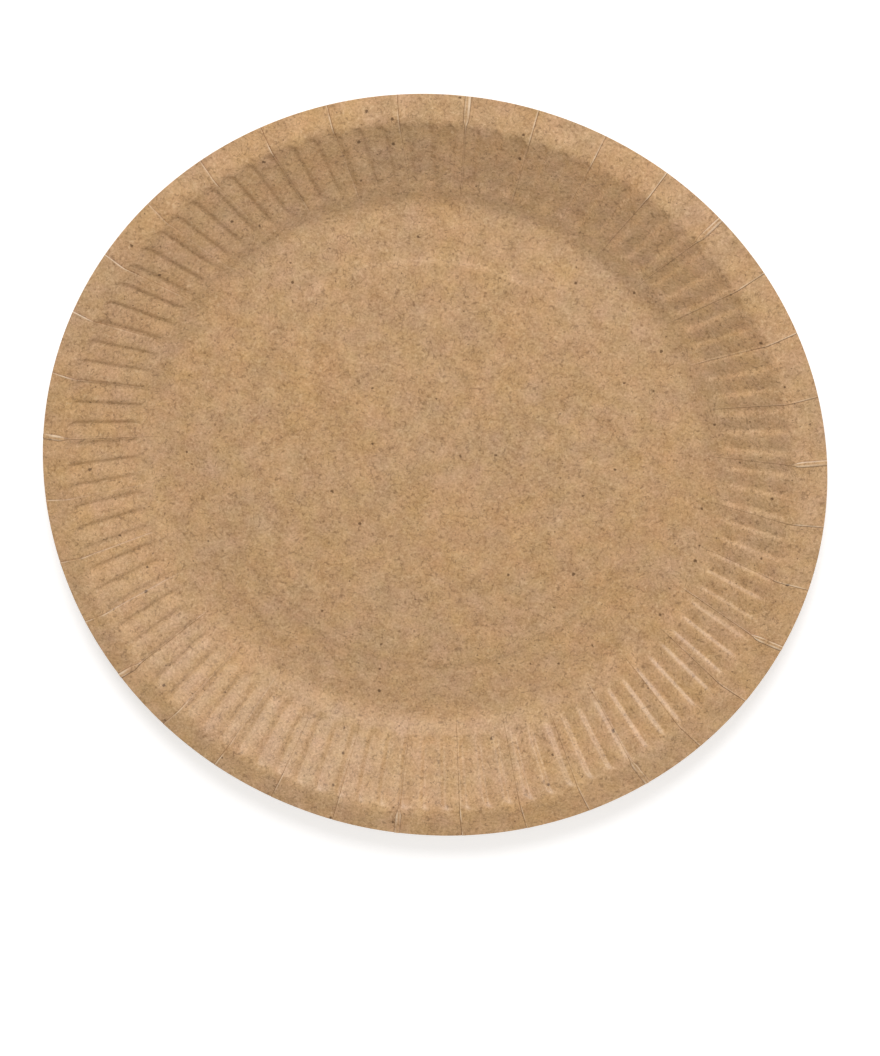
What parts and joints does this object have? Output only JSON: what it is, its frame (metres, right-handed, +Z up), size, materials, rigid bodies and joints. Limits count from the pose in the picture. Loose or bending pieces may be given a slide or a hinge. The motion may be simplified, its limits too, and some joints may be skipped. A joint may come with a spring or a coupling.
{
  "type": "paper plate",
  "caption": "Round shallow plate of pressed kraft board with a fluted wall, flat brim, radial creases and a raised middle panel.",
  "frame": {"origin": "middle of the round rim, on the surface that the plate rests on", "axes": "+Z up out of the well, +X towards the side where the brim is widest"},
  "size_m": [0.23, 0.23, 0.013],
  "materials": {
    "kraft_board": "unbleached kraft board with fine fibres and dark specks, low satin sheen on the pressed face"
  },
  "bodies": {
    "root": {"plate": "kraft_board"}
  },
  "joints": []
}
